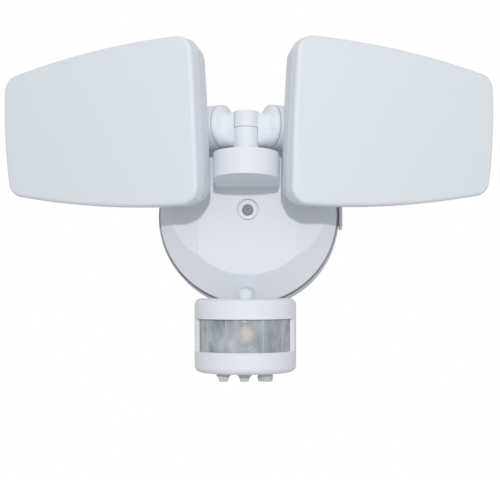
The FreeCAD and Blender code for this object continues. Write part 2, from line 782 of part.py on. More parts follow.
def build_knuckle(side, sign):
    """Round knuckle behind the head with a flange that is screwed to the housing, and its plug."""
    turn = side_rotation(sign).multiply(Rotation(ALONG_ARM))
    turn = turn.multiply(Rotation(Vector(0, 0, 1), sign * S.head_pitch.number))
    frame = Placement(PIVOT, turn)
    body = new_body(f"{side}_knuckle", frame)
    pad_circle(body, knuckle_start, S.knuckle_length, (0, 0, S.disc_radius))
    flange = new_sketch(body, S.flange_start)
    add_rectangle(flange, -S.head_back, -S.head_back + S.flange_depth, -S.flange_half_height,
                  S.flange_half_height)
    extrude(body, flange, S.flange_end - S.flange_start)
    cut_circle(body, wall_end, S.knuckle_wall, (0, 0, S.tilt_bolt_radius + S.shaft_gap))
    cut_circle(body, knuckle_end, S.knuckle_length - S.knuckle_wall, (0, 0, S.knuckle_bore))
    holes = new_sketch(body, S.flange_depth - S.head_back, "YZ_Plane")
    for x, y in flange_screw_points():
        add_circle(holes, y, x, S.small_screw_radius)
    extrude(body, holes, S.flange_depth, "Pocket")
    plug = new_body(f"{side}_knuckle_plug", frame)
    pad_circle(plug, knuckle_end - S.plug_depth, S.plug_depth, (0, 0, S.knuckle_bore))


def build_head(side, sign):
    """Lamp head: housing, gasket, diffuser, LED board with its LEDs, and their screws."""
    turn = side_rotation(sign).multiply(FRONT)
    turn = turn.multiply(Rotation(Vector(1, 0, 0), sign * S.head_pitch.number))
    frame = Placement(PIVOT, turn)
    boss = [(x, y, S.lamp_boss_radius) for x, y in lamp_screw_points(sign)]
    pilot = [(x, y, S.small_screw_radius) for x, y in lamp_screw_points(sign)]
    flange_pilot = [(x, y, S.small_screw_radius) for x, y in flange_screw_points()]
    board_pilot = [(x, y, S.small_screw_radius) for x, y in board_screw_points()]

    housing = new_body(f"{side}_housing", frame)
    rear = new_sketch(housing, S.head_back)
    head_outline(rear, sign, S.housing_taper)
    front = new_sketch(housing, housing_front)
    head_outline(front, sign, 0)
    loft = housing.newObject("PartDesign::AdditiveLoft", f"{side}_housing_loft")
    loft.Profile = rear
    loft.Sections = [front]
    loft.Ruled = True
    floor = S.head_back + S.housing_wall
    inside_rear = new_sketch(housing, floor)
    head_outline(inside_rear, sign, S.housing_taper + S.housing_wall)
    inside_front = new_sketch(housing, housing_front)
    head_outline(inside_front, sign, S.housing_wall)
    inside = housing.newObject("PartDesign::SubtractiveLoft", f"{side}_housing_inside")
    inside.Profile = inside_rear
    inside.Sections = [inside_front]
    inside.Ruled = True
    round_corners(housing, inside)
    pad_circle(housing, floor, housing_front - floor, *boss)
    pad_circle(housing, floor, board_back - floor,
               *[(x, y, S.lamp_boss_radius) for x, y in board_screw_points()])
    pad_circle(housing, floor, S.housing_depth / 2 - S.housing_wall / 2,
               *[(x, y, S.lamp_boss_radius) for x, y in flange_screw_points()])
    cut_circle(housing, housing_front, S.housing_depth, *pilot)
    cut_circle(housing, S.head_back + S.housing_depth / 2, S.housing_depth / 2, *flange_pilot)
    cut_circle(housing, board_back, board_back - floor, *board_pilot)

    gasket = new_body(f"{side}_head_gasket", frame)
    ring = new_sketch(gasket, housing_front)
    head_outline(ring, sign, 0)
    rounded = round_corners(gasket, extrude(gasket, ring, S.head_gasket_depth))
    hollow_out(gasket, rounded, S.head_gasket_width,
               lambda box: box.ZLength < 1e-3)

    diffuser = new_body(f"{side}_diffuser", frame)
    outline = new_sketch(diffuser, diffuser_back)
    head_outline(outline, sign, 0)
    rounded = round_corners(diffuser, extrude(diffuser, outline, S.diffuser_depth))
    soft = round_edges(diffuser, rounded, S.diffuser_edge, flat_at(diffuser_front.number))
    hollow_out(diffuser, soft, S.diffuser_wall, flat_at(diffuser_back.number))
    pad_circle(diffuser, diffuser_back, S.diffuser_depth - S.diffuser_wall, *boss)
    cut_circle(diffuser, diffuser_front - S.diffuser_wall, S.diffuser_depth - S.diffuser_wall, *pilot)

    board = new_body(f"{side}_led_board", frame)
    left = S.head_start + S.led_board_margin
    right = S.head_end - S.led_board_margin
    half = S.led_board_half_height
    pad_box(board, board_back, S.led_board_depth, (left, right, -half, half))
    cut_circle(board, board_back + S.led_board_depth, S.led_board_depth, *board_pilot)

    chips = new_body(f"{side}_leds", frame)
    first, low = left + S.led_end_margin, S.led_side_margin - half
    pitch = (right - first - S.led_end_margin) / (LED_COLUMNS - 1)
    rise = (half - low - S.led_side_margin) / (LED_LINES - 1)
    size = S.led_size / 2
    spots = [(first + pitch * column, low + rise * line)
             for column in range(LED_COLUMNS) for line in range(LED_LINES)]
    pad_box(chips, board_back + S.led_board_depth, S.led_depth,
            *[(x - size, x + size, y - size, y + size) for x, y in spots])

    back_out = frame.multiply(Placement(Vector(), HALF_TURN))
    mirrored = [(-x, y) for x, y in lamp_screw_points(sign)]
    add_screws(f"{side}_housing_screws", back_out, mirrored, -S.head_back,
               S.housing_depth + S.diffuser_depth / 2)
    add_screws(f"{side}_flange_screws", back_out, [(-x, y) for x, y in flange_screw_points()],
               S.flange_depth - S.head_back, S.flange_depth + S.housing_depth / 3)
    add_screws(f"{side}_board_screws", frame, board_screw_points(),
               board_back + S.led_board_depth, S.housing_depth / 3)


# --- sensor --------------------------------------------------------------------------------------

SENSOR_PIVOT = Vector(0, -S.sensor_reach.number, -S.sensor_pivot_drop.number)
SENSOR_FRAME = Placement(SENSOR_PIVOT, Rotation(Vector(1, 0, 0), S.sensor_pitch.number))
sensor_inner = S.sensor_radius - S.sensor_wall
lens_radius = sensor_inner - S.running_gap
dial_board_radius = lens_radius - S.lens_wall - S.dial_board_gap
dial_board_top = S.dial_board_rise - S.sensor_bottom + S.board_thickness


def build_sensor_arm():
    """Sloping hollow arm from the cover to an upright eye, and the nut inside the cover."""
    run = (S.sensor_reach - S.arm_start_depth).number
    fall = (S.arm_end_drop - S.arm_start_drop).number
    slope = Rotation(Vector(1, 0, 0), 90 + math.degrees(math.atan2(fall, run)))
    start = Vector(0, -S.arm_start_depth.number, -S.arm_start_drop.number)
    length = Size(math.hypot(run, fall),
                  f"sqrt(pow({(S.sensor_reach - S.arm_start_depth).text}; 2) "
                  f"+ pow({(S.arm_end_drop - S.arm_start_drop).text}; 2))")
    tube = doc.addObject("Part::Cylinder", "arm_tube")
    bind(tube, "Radius", S.arm_radius)
    bind(tube, "Height", length)
    tube.Placement = Placement(start, slope)
    eye = doc.addObject("Part::Cylinder", "arm_eye")
    bind(eye, "Radius", S.eye_radius)
    bind(eye, "Height", S.eye_bottom_drop - S.arm_end_drop)
    eye.Placement = Placement(Vector(0, SENSOR_PIVOT.y, -S.eye_bottom_drop.number), Rotation())
    dome = doc.addObject("Part::Sphere", "arm_dome")
    bind(dome, "Radius", S.eye_radius)
    dome.Placement = Placement(Vector(0, SENSOR_PIVOT.y, -S.arm_end_drop.number), Rotation())
    solid = doc.addObject("Part::MultiFuse", "arm_solid")
    solid.Shapes = [tube, eye, dome]
    duct = doc.addObject("Part::Cylinder", "arm_duct")
    bind(duct, "Radius", S.arm_bore)
    bind(duct, "Height", length - S.eye_radius * ARM_DUCT_STOP)
    duct.Placement = Placement(start, slope)
    bore = doc.addObject("Part::Cylinder", "arm_pin_bore")
    bind(bore, "Radius", S.swivel_radius + S.shaft_gap)
    bind(bore, "Height", S.eye_bottom_drop - S.arm_end_drop + S.eye_radius / 2)
    bore.Placement = eye.Placement
    holes = doc.addObject("Part::MultiFuse", "arm_holes")
    holes.Shapes = [duct, bore]
    arm = doc.addObject("Part::Cut", "sensor_arm")
    arm.Base = solid
    arm.Tool = holes
    arm.Label = "sensor_arm"
    sub_parts.append(arm)

    nut = new_body("sensor_arm_nut", Placement(start, slope))
    sketch = new_sketch(nut, S.shaft_gap)
    add_hexagon(sketch, 0, 0, S.arm_nut_across)
    add_circle(sketch, 0, 0, S.arm_radius)
    extrude(nut, sketch, S.arm_nut_depth)
    return start, slope


def bore_cover_for_arm(cover, start, slope):
    """Opens the cover's bevel for the sensor arm, square to the arm."""
    drill = doc.addObject("Part::Cylinder", "arm_hole")
    bind(drill, "Radius", S.arm_radius)
    bind(drill, "Height", S.sensor_reach / 2)
    drill.Placement = Placement(start, slope)
    bored = doc.addObject("Part::Cut", "bored_cover")
    bored.Base = cover
    bored.Tool = drill
    cover.Label = "base_cover_blank"
    bored.Label = "base_cover"
    sub_parts[sub_parts.index(cover)] = bored


def build_sensor_swivel():
    """Upright pin in the arm's eye with the flat tongue that the sensor tilts on, and that pin."""
    body = new_body("sensor_swivel", Placement(SENSOR_PIVOT, Rotation()))
    shoulder = S.sensor_pivot_drop - S.eye_bottom_drop - S.running_gap
    half = S.swivel_half_width
    depth = S.swivel_half_depth
    bottom = -depth
    side = new_sketch(body, -half, "YZ_Plane")
    add_outline(side, [(-depth, 0, (0, bottom)), (depth, 0), (depth, shoulder), (-depth, shoulder)])
    extrude(body, side, half * 2)
    pad_circle(body, shoulder - S.running_gap, S.running_gap * 2 + S.eye_radius,
               (0, 0, S.swivel_radius))
    hole = new_sketch(body, half, "YZ_Plane")
    add_circle(hole, 0, 0, S.sensor_pin_radius + S.shaft_gap)
    extrude(body, hole, half * 2, "Pocket")
    turn = SENSOR_FRAME.multiply(Placement(Vector(), ALONG_ARM))
    pin = new_body("sensor_pin", turn)
    reach = S.swivel_half_width * PIN_REACH
    pad_circle(pin, -reach, reach * 2, (0, 0, S.sensor_pin_radius))


def round_axis(radius, angle):
    """The point of a circle round the sensor's axis, at an angle from straight ahead."""
    turn = math.radians(angle.number)
    return (radius * Size(math.sin(turn), f"sin({angle.text})"),
            -radius * Size(math.cos(turn), f"cos({angle.text})"))


def cut_top_recess(body):
    """Lowers the sensor's top round the eye and behind it, so that the arm can swing over it."""
    top = S.sensor_top
    cut_circle(body, top, S.top_recess_depth, (0, 0, S.top_recess_radius))
    edge = S.sensor_radius * BEYOND
    cut_box(body, top, S.top_recess_depth, (-edge, edge, S.top_recess_behind, edge))


def build_sensor_shells():
    """Upper and lower shells of the sensor, split at the top of the lens window."""
    inner, outer, wall = sensor_inner, S.sensor_radius, S.sensor_wall
    top, shoulder = S.sensor_top, S.sensor_shoulder
    soft = math.sqrt(0.5)
    upper = new_body("sensor_upper_shell", SENSOR_FRAME)
    recess = top - S.top_recess_depth
    turn_profile(upper, [(0, recess - wall), (inner, recess - wall), (inner, -S.window_top),
                         (outer, -S.window_top),
                         (outer, top - shoulder, (outer - shoulder * (1 - soft),
                                                  top - shoulder * (1 - soft))),
                         (outer - shoulder, top), (0, top)])
    cut_top_recess(upper)
    half = S.swivel_half_width + S.running_gap
    reach = S.swivel_half_width * PIN_REACH
    cheek = S.sensor_pin_radius * CHEEK_RADIUS
    pad_box(upper, -cheek, recess - wall + cheek, (-reach, -half, -cheek, cheek),
            (half, reach, -cheek, cheek))
    slot = S.swivel_half_depth + S.swivel_slot_gap
    cut_box(upper, recess, wall, (-half, half, -slot, slot))
    hole = new_sketch(upper, reach, "YZ_Plane")
    add_circle(hole, 0, 0, S.sensor_pin_radius)
    extrude(upper, hole, reach * 2, "Pocket")

    lower = new_body("sensor_lower_shell", SENSOR_FRAME)
    bottom = -S.sensor_bottom
    turn_profile(lower, [(0, bottom), (outer - shoulder, bottom, (outer - shoulder * (1 - soft),
                                                                  bottom + shoulder * (1 - soft))),
                         (outer, bottom + shoulder), (outer, -S.window_top),
                         (inner, -S.window_top), (inner, bottom + wall), (0, bottom + wall)])
    window = new_sketch(lower, -S.window_top)
    near_x, near_y = round_axis(inner, S.jamb_half_angle)
    edge_x, edge_y = round_axis(outer, S.window_half_angle)
    far_x, far_y = edge_x * 2 - near_x, edge_y * 2 - near_y
    add_outline(window, [(0, 0), (-near_x, near_y), (-far_x, far_y, (0, -outer * BEYOND)),
                         (far_x, far_y), (near_x, near_y)])
    extrude(lower, window, S.window_bottom - S.window_top, "Pocket")
    cut_circle(lower, bottom + wall, wall,
               *[(step * S.dial_spacing, -S.dial_forward, S.dial_shaft_radius * DIAL_HOLE)
                 for step in (-1, 0, 1)])
    corner = S.sensor_screw_spread / 2
    posts = [(sign * corner, S.sensor_screw_back) for sign in (-1, 1)]
    post_top = S.dial_board_rise - S.sensor_bottom
    pad_circle(lower, bottom + wall, post_top - bottom - wall,
               *[(x, y, S.lamp_boss_radius) for x, y in posts])
    cut_circle(lower, post_top, post_top - bottom, *[(x, y, S.small_screw_radius) for x, y in posts])


def build_sensor_lens():
    """Curved segmented lens behind the window, held between the shells."""
    body = new_body("sensor_lens", SENSOR_FRAME)
    low, height = -S.window_bottom - S.lens_lap, S.window_bottom - S.window_top + S.lens_lap * 2
    pad_circle(body, low, height, (0, 0, lens_radius), (0, 0, lens_radius - S.lens_wall))
    reach = S.sensor_radius * BEYOND
    side_x, side_y = round_axis(reach, S.lens_half_angle)
    rear = new_sketch(body, low + height)
    add_outline(rear, [(0, 0), (side_x, side_y), (reach, reach), (-reach, reach), (-side_x, side_y)])
    extrude(body, rear, height, "Pocket")


def build_sensor_electronics():
    """Detector board, detector, indicator, dial board and the three dials' bodies."""
    front = SENSOR_FRAME.multiply(Placement(Vector(), FRONT))
    middle = (S.window_top + S.window_bottom) / 2
    half = S.sensor_board_width / 2
    board = new_body("sensor_board", front)
    low = dial_board_top
    pad_box(board, S.sensor_board_forward, S.board_thickness,
            (-half, half, low, low + S.sensor_board_height))
    face = S.sensor_board_forward + S.board_thickness
    detector = new_body("pir_detector", front)
    pad_circle(detector, face, S.detector_depth, (0, -middle, S.detector_radius))
    pad_circle(detector, face, S.detector_rim, (0, -middle, S.detector_radius + S.detector_rim / 2))
    indicator = new_body("indicator_led", front)
    drop = -middle - S.indicator_drop
    pad_circle(indicator, face, S.indicator_depth, (0, drop, S.indicator_radius))
    dial_board = new_body("dial_board", SENSOR_FRAME)
    height = dial_board_top - S.board_thickness
    pad_circle(dial_board, height, S.board_thickness, (0, 0, dial_board_radius))
    corner = S.sensor_screw_spread / 2
    cut_circle(dial_board, dial_board_top, S.board_thickness,
               *[(sign * corner, S.sensor_screw_back, S.small_screw_radius) for sign in (-1, 1)])
    dials = new_body("dial_bodies", SENSOR_FRAME)
    side = S.dial_body / 2
    pad_box(dials, height - S.dial_body_depth, S.dial_body_depth,
            *[(step * S.dial_spacing - side, step * S.dial_spacing + side,
               -S.dial_forward - side, -S.dial_forward + side) for step in (-1, 0, 1)])
    cut_circle(dials, height - S.dial_body_depth / 2, S.dial_body_depth / 2,
               *[(step * S.dial_spacing, -S.dial_forward, S.dial_shaft_radius + S.shaft_gap)
                 for step in (-1, 0, 1)])
    add_screws("sensor_screws", SENSOR_FRAME,
               [(sign * corner, S.sensor_screw_back) for sign in (-1, 1)],
               dial_board_top, S.board_thickness + S.dial_board_rise * BLIND_DEPTH)


def build_knobs():
    """Three knobs under the sensor: skirt, grip bar and a shaft up into the dial."""
    for name, step, turn in (("left", -1, 0), ("middle", 0, 0), ("right", 1, 62)):
        spot = Vector(step * S.dial_spacing.number, -S.dial_forward.number, 0)
        frame = SENSOR_FRAME.multiply(Placement(spot, Rotation(Vector(0, 0, 1), turn)))
        body = new_body(f"knob_{name}", frame)
        top = -S.sensor_bottom - S.running_gap
        pad_circle(body, top - S.knob_skirt_depth, S.knob_skirt_depth, (0, 0, S.knob_skirt_radius))
        half, wide = S.knob_bar_length / 2, S.knob_bar_width / 2
        pad_box(body, top - S.knob_skirt_depth - S.knob_bar_depth, S.knob_bar_depth,
                (-wide, wide, -half, half))
        socket = S.dial_board_rise - S.sensor_bottom - S.dial_body_depth * (1 - SHAFT_LAP)
        pad_circle(body, top, socket - top, (0, 0, S.dial_shaft_radius))


# --- the whole light -----------------------------------------------------------------------------

build_wall_plate()
build_wall_gasket()
build_cable_grommet()
build_side_clip()
build_driver_box()
add_screws("driver_screws", WALL_FRAME, [(sign * lug_x, S.driver_rise) for sign in (-1, 1)],
           driver_base + S.lug_thickness, S.lug_thickness + S.plate_floor / 2)
build_terminal_block()
base_cover = build_base_cover()
build_cover_gasket()
build_cover_bolt()
build_bolt_seal()
build_head_bracket()
add_screws("bracket_screws", WALL_FRAME.multiply(Placement(Vector(), HALF_TURN)),
           [(sign * bracket_screw_x, bracket_screw_height) for sign in (-1, 1)],
           -ceiling, cover_front - ceiling + bracket_screw_bite)
build_pivot()
seam = S.tilt_height - S.seam_height
half_gap = S.running_gap / 2
for side, sign, ring_start, ring_end, neck_end in (
        ("left", -1, seam + half_gap, S.tilt_height - bracket_top - S.running_gap, S.neck_drop),
        ("right", 1, half_gap - seam, post_top, post_top)):
    build_yoke(side, sign, ring_start, ring_end, neck_end)
    build_tilt_bolt(side, sign)
    build_knuckle(side, sign)
    build_head(side, sign)
arm_start, arm_slope = build_sensor_arm()
bore_cover_for_arm(base_cover, arm_start, arm_slope)
build_sensor_swivel()
build_sensor_shells()
build_sensor_lens()
build_sensor_electronics()
build_knobs()

doc.recompute()
failed = [item.Name for item in doc.Objects if "Invalid" in item.State or "Error" in item.State]
if failed:
    raise RuntimeError(f"not built: {', '.join(failed)}")
for part in sub_parts:
    if part.Shape.isNull() or not part.Shape.isValid():
        raise RuntimeError(f"{part.Label} has no valid shape")

os.makedirs("parts", exist_ok=True)
for part in sub_parts:
    part.Shape.exportStep(f"parts/{part.Label}.step")
print(f"{len(sub_parts)} sub-parts written")
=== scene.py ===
"""Motion sensor security light: a round wall base, two jointed lamp heads and a motion sensor.

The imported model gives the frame, in metres: +X is to the right, -Y is out of the wall, +Z is up.
"""

import json
import math

import bmesh
import bpy
from mathutils import Matrix, Vector


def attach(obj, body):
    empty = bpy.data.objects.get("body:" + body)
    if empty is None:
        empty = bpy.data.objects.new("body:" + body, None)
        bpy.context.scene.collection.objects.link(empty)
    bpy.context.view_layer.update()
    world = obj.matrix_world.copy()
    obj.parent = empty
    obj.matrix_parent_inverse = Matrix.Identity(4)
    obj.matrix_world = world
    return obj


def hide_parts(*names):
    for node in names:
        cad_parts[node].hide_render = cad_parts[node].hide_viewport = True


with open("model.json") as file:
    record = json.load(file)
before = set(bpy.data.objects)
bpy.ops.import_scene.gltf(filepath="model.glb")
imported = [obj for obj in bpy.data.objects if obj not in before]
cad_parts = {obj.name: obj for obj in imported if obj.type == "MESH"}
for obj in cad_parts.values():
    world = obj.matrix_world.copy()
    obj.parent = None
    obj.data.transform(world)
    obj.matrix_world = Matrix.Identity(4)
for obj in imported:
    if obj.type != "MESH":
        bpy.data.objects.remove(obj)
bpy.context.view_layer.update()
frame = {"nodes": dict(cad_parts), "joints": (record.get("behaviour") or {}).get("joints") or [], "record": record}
nodes = frame["nodes"]
joints = {joint["name"]: joint for joint in frame["joints"]}
node_body = {node: body for body, names in frame["record"]["behaviour"]["bodies"].items()
             for node in names}
scene = bpy.context.scene
MM = 0.001


# --- material helpers ----------------------------------------------------------------------------
# Value lets a material's sums be written as sums, and Finish adds the nodes for them. Plastic and
# metal are the two surfaces that many pieces share.

PLASTIC_CLOUD_SCALE = 35.0
PLASTIC_GRAIN_SCALE = 1700.0
PLASTIC_GRAIN_HEIGHT = 0.15 * MM
PLASTIC_SPECULAR = 0.4
METAL_PATCH_SCALE = 350.0
METAL_MARK_SCALE = 2600.0
METAL_MARK_HEIGHT = 0.1 * MM


class Value:
    """A number or colour on a shader socket; arithmetic on it adds Math nodes."""

    def __init__(self, finish, socket):
        self.finish = finish
        self.socket = socket

    def math(self, operation, *operands):
        return self.finish.node("ShaderNodeMath", {"operation": operation}, operands)

    def __add__(self, other):
        return self.math("ADD", self, other)

    def __sub__(self, other):
        return self.math("SUBTRACT", self, other)

    def __rsub__(self, other):
        return self.math("SUBTRACT", other, self)

    def __mul__(self, other):
        return self.math("MULTIPLY", self, other)

    def __truediv__(self, other):
        return self.math("DIVIDE", self, other)

    def size(self):
        return self.math("ABSOLUTE", self)

    def at_least(self, other):
        return self.math("MAXIMUM", self, other)


class Finish:
    """The node tree of a material or of the world; node() adds every node that it needs."""

    def __init__(self, owner):
        self.owner = owner
        owner.use_nodes = True
        self.tree = owner.node_tree
        self.tree.nodes.clear()

    def node(self, kind, settings=None, inputs=(), output=0):
        """Adds a node: its settings first, then the values or links of its sockets."""
        made = self.tree.nodes.new(kind)
        for name, value in (settings or {}).items():
            setattr(made, name, value)
        for socket, value in inputs.items() if isinstance(inputs, dict) else enumerate(inputs):
            if isinstance(value, Value):
                self.tree.links.new(value.socket, made.inputs[socket])
            else:
                made.inputs[socket].default_value = value
        return Value(self, made.outputs[output]) if len(made.outputs) else None

    def place(self):
        """Where a point of the surface is, in the piece's own coordinates."""
        return self.node("ShaderNodeTexCoord", output="Object")

    def noise(self, place, scale, detail):
        return self.node("ShaderNodeTexNoise", {},
                         {"Vector": place, "Scale": scale, "Detail": detail})

    def clamp(self, value):
        """The value, held between 0 and 1."""
        return self.node("ShaderNodeClamp", {}, [value])

    def colours(self, share, first, second):
        """One colour going over into another; each may come from another node."""
        ends = [end if isinstance(end, Value) else (*end, 1) for end in (first, second)]
        return self.node("ShaderNodeMix", {"data_type": "RGBA"},
                         {0: share, 6: ends[0], 7: ends[1]}, output=2)

    def mixed(self, share, first, second):
        """One shader going over into another."""
        return self.node("ShaderNodeMixShader", {}, [share, first, second])

    def seen_directly(self):
        """1 where the camera, a reflection or a clear piece shows this surface itself."""
        straight, mirrored, through = (self.node("ShaderNodeLightPath", output=name) for name in
                                       ("Is Camera Ray", "Is Glossy Ray", "Is Transmission Ray"))
        return straight.at_least(mirrored).at_least(through)


def moulded_plastic(name, colour, roughness, grain, clouding=0.97):
    """Moulded plastic: a faintly cloudy colour, an uneven sheen and a fine grain."""
    finish = Finish(bpy.data.materials.new(name))
    place = finish.place()
    clouds = finish.noise(place, PLASTIC_CLOUD_SCALE, 3.0)
    eroded = finish.noise(place, PLASTIC_GRAIN_SCALE, 2.0)
    relief = finish.node("ShaderNodeBump", {}, {
        "Strength": grain, "Distance": PLASTIC_GRAIN_HEIGHT, "Height": eroded})
    shader = finish.node("ShaderNodeBsdfPrincipled", {}, {
        "Base Color": finish.colours(clouds, [share * clouding for share in colour], colour),
        "Roughness": clouds * 0.12 + eroded * 0.06 + (roughness - 0.09),
        "Specular IOR Level": PLASTIC_SPECULAR,
        "Normal": relief})
    finish.node("ShaderNodeOutputMaterial", {}, [shader])
    return finish.owner


def machined_metal(name, colour, roughness, wear):
    """Plated steel: fine turning marks, and patches that are rubbed smoother."""
    finish = Finish(bpy.data.materials.new(name))
    place = finish.place()
    marks = finish.noise(place, METAL_MARK_SCALE, 3.0)
    patches = finish.noise(place, METAL_PATCH_SCALE, 4.0)
    relief = finish.node("ShaderNodeBump", {}, {
        "Strength": 0.25, "Distance": METAL_MARK_HEIGHT, "Height": marks})
    shader = finish.node("ShaderNodeBsdfPrincipled", {}, {
        "Base Color": finish.colours(patches, [share * wear for share in colour], colour),
        "Metallic": 1.0,
        "Roughness": patches * 0.25 + (roughness - 0.12),
        "Normal": relief})
    finish.node("ShaderNodeOutputMaterial", {}, [shader])
    return finish.owner


# --- shape helpers -------------------------------------------------------------------------------
# A CAD node shows as it is, or softened, or as a new shape that stands for it on the same body.
# The rest are the steps that several of the new shapes share.

CREASE = 30
MERGE = 0.005 * MM
CAD_MERGE = 0.002 * MM
TURNED_MERGE = 0.01 * MM
FLAT = math.radians(0.5)
BAR_SEGMENTS = 96


def dress(material, *names):
    """Gives CAD nodes that show as they are a material."""
    for name in names:
        for slot in nodes[name].material_slots:
            slot.material = material


def stand_for(node, solid, material, name=None, crease=CREASE):
    """Makes a shape the piece that stands for a CAD node, on that node's body."""
    name = name or f"{node}_moulding"
    for face in solid.faces:
        face.smooth = True
    piece = bpy.data.objects.new(name, bpy.data.meshes.new(name))
    solid.to_mesh(piece.data)
    solid.free()
    if "custom_normal" in piece.data.attributes:
        piece.data.attributes.remove(piece.data.attributes["custom_normal"])
    piece.data.set_sharp_from_angle(angle=math.radians(crease))
    piece.data.materials.clear()
    piece.data.materials.append(material)
    scene.collection.objects.link(piece)
    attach(piece, node_body[node])
    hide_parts(node)
    return piece


def round_edges(piece, radius, crease=CREASE, segments=3):
    """Rounds the edges of a piece that are sharper than the crease."""
    edges = piece.modifiers.new("rounded_edges", "BEVEL")
    edges.width = radius
    edges.segments = segments
    edges.limit_method = "ANGLE"
    edges.angle_limit = math.radians(crease)
    edges.harden_normals = True


def softened(node, radius, material, crease=CREASE):
    """Stands for a CAD node: the same solid with its facets merged and its edges rounded."""
    solid = bmesh.new()
    solid.from_mesh(nodes[node].data)
    bmesh.ops.remove_doubles(solid, verts=solid.verts, dist=CAD_MERGE)
    bmesh.ops.dissolve_limit(solid, angle_limit=FLAT, verts=solid.verts, edges=solid.edges,
                             delimit=set())
    piece = stand_for(node, solid, material, crease=crease)
    if radius:
        round_edges(piece, radius, crease)


def turned(outline, steps):
    """Spins a half section, as distances from the upright axis and down it, in millimetres."""
    solid = bmesh.new()
    corners = [solid.verts.new((radius * MM, 0, -depth * MM)) for radius, depth in outline]
    lines = [solid.edges.new(pair) for pair in zip(corners, corners[1:])]
    bmesh.ops.spin(solid, geom=corners + lines, cent=(0, 0, 0), axis=(0, 0, 1), angle=math.tau,
                   steps=steps, use_merge=True)
    bmesh.ops.remove_doubles(solid, verts=solid.verts, dist=TURNED_MERGE)
    return solid


def shell_object(name, solid):
    """A scene object that holds a new shape."""
    made = bpy.data.objects.new(name, bpy.data.meshes.new(name))
    bmesh.ops.recalc_face_normals(solid, faces=solid.faces)
    solid.to_mesh(made.data)
    solid.free()
    scene.collection.objects.link(made)
    return made


def cylinder(radius, low, high, along="Z"):
    """A round bar between two places on the upright or the outward axis."""
    bar = bmesh.new()
    bmesh.ops.create_cone(bar, cap_ends=True, segments=BAR_SEGMENTS, radius1=radius,
                          radius2=radius, depth=high - low)
    bmesh.ops.translate(bar, verts=bar.verts, vec=(0, 0, (low + high) / 2))
    if along == "X":
        bmesh.ops.rotate(bar, verts=bar.verts, matrix=Matrix.Rotation(math.radians(90), 3, "Y"))
    return shell_object("bar", bar)


def combine(base, *steps):
    """Adds shapes to a shape or takes them away, and gives the result as a new shape."""
    for operation, tool in steps:
        change = base.modifiers.new("change", "BOOLEAN")
        change.operation = operation
        change.solver = "EXACT"
        change.object = tool
    result = bmesh.new()
    result.from_object(base, bpy.context.evaluated_depsgraph_get())
    for done in (base, *[tool for _, tool in steps]):
        bpy.data.objects.remove(done)
    bmesh.ops.remove_doubles(result, verts=result.verts, dist=MERGE)
    bmesh.ops.dissolve_degenerate(result, edges=result.edges, dist=MERGE)
    return result


# --- camera, floor and studio light --------------------------------------------------------------
# The photograph looks a little upwards at the light, from below its middle and to its right.
# It is a cut-out on plain white: the world and the floor are white where the camera looks at them.

CAMERA_PLACE = Vector((30.6, -816.8, -125.7)) * MM
CAMERA_PITCH = 4.92
CAMERA_TURN = 0.92
CAMERA_SHIFT = (-0.05, 0.10)
CAMERA_NEAR = 0.01
FOCAL_PER_WIDTH = 2.409
SENSOR_WIDTH = 36.0
AMBIENT = (0.93, 0.96, 1.0)
AMBIENT_STRENGTH = 0.615
FLOOR_HEIGHT = -0.42
FLOOR_HALF = 4.0
FLOOR_GREY = 0.66
FLOOR_GLOW = 0.72
# Name, place, width and watts of each lamp; all point at the origin.
LAMPS = (("key", (0.09, -1.9, 0.22), 0.05, 13.4),
         ("fill", (0.3, -1.8, 0.8), 1.2, 2.0))

scene.view_settings.view_transform = "Standard"

camera = bpy.data.objects.new("photo_camera", bpy.data.cameras.new("photo_camera"))
camera.data.sensor_width = SENSOR_WIDTH
camera.data.lens = SENSOR_WIDTH * FOCAL_PER_WIDTH
camera.data.shift_x, camera.data.shift_y = CAMERA_SHIFT
camera.data.clip_start = CAMERA_NEAR
camera.location = CAMERA_PLACE
camera.rotation_euler = (math.radians(90 + CAMERA_PITCH), 0, math.radians(CAMERA_TURN))
scene.collection.objects.link(camera)
scene.camera = camera

world = bpy.data.worlds.new("studio")
scene.world = world
sky = Finish(world)
room = sky.node("ShaderNodeBackground", {}, {"Color": (*AMBIENT, 1), "Strength": AMBIENT_STRENGTH})
white = sky.node("ShaderNodeBackground", {}, {"Color": (1, 1, 1, 1), "Strength": 1.0})
sky.node("ShaderNodeOutputWorld", {}, [sky.mixed(sky.seen_directly(), room, white)])

floor_mesh = bmesh.new()
bmesh.ops.create_grid(floor_mesh, x_segments=1, y_segments=1, size=FLOOR_HALF)
bmesh.ops.translate(floor_mesh, verts=floor_mesh.verts, vec=(0, 0, FLOOR_HEIGHT))
floor = bpy.data.objects.new("floor", bpy.data.meshes.new("floor"))
floor_mesh.to_mesh(floor.data)
floor_mesh.free()
scene.collection.objects.link(floor)
paint = Finish(bpy.data.materials.new("pale_floor"))
matt = paint.node("ShaderNodeBsdfDiffuse", {}, {"Color": (FLOOR_GREY,) * 3 + (1,)})
glow = paint.node("ShaderNodeEmission", {}, {"Color": (1, 1, 1, 1), "Strength": FLOOR_GLOW})
lit = paint.node("ShaderNodeAddShader", {}, [matt, glow])
paint.node("ShaderNodeOutputMaterial", {}, [paint.mixed(paint.seen_directly(), matt, lit)])
floor.data.materials.append(paint.owner)

for name, place, width, power in LAMPS:
    lamp = bpy.data.objects.new(name, bpy.data.lights.new(name, "AREA"))
    lamp.data.size = width
    lamp.data.energy = power
    lamp.location = place
    lamp.rotation_euler = Vector(place).to_track_quat("Z", "Y").to_euler()
    scene.collection.objects.link(lamp)


# --- wall plate, side clip and base cover --------------------------------------------------------
# The base is moulded in white ABS with a fine eroded grain. A shallow plate is screwed to the box
# in the wall; a bevelled cover closes it on a seal, and a spring clip stands on its right. The seal's
# dark grey is a painted shadow for the shaded gap round the cover's edge.

WHITE = (0.775, 0.80, 0.845)
# The plate gets the base's white darkened: painted shade for its rim, which sits in shade beside the cover.
PLATE_SHADED_WHITE = [share * 0.80 for share in WHITE]

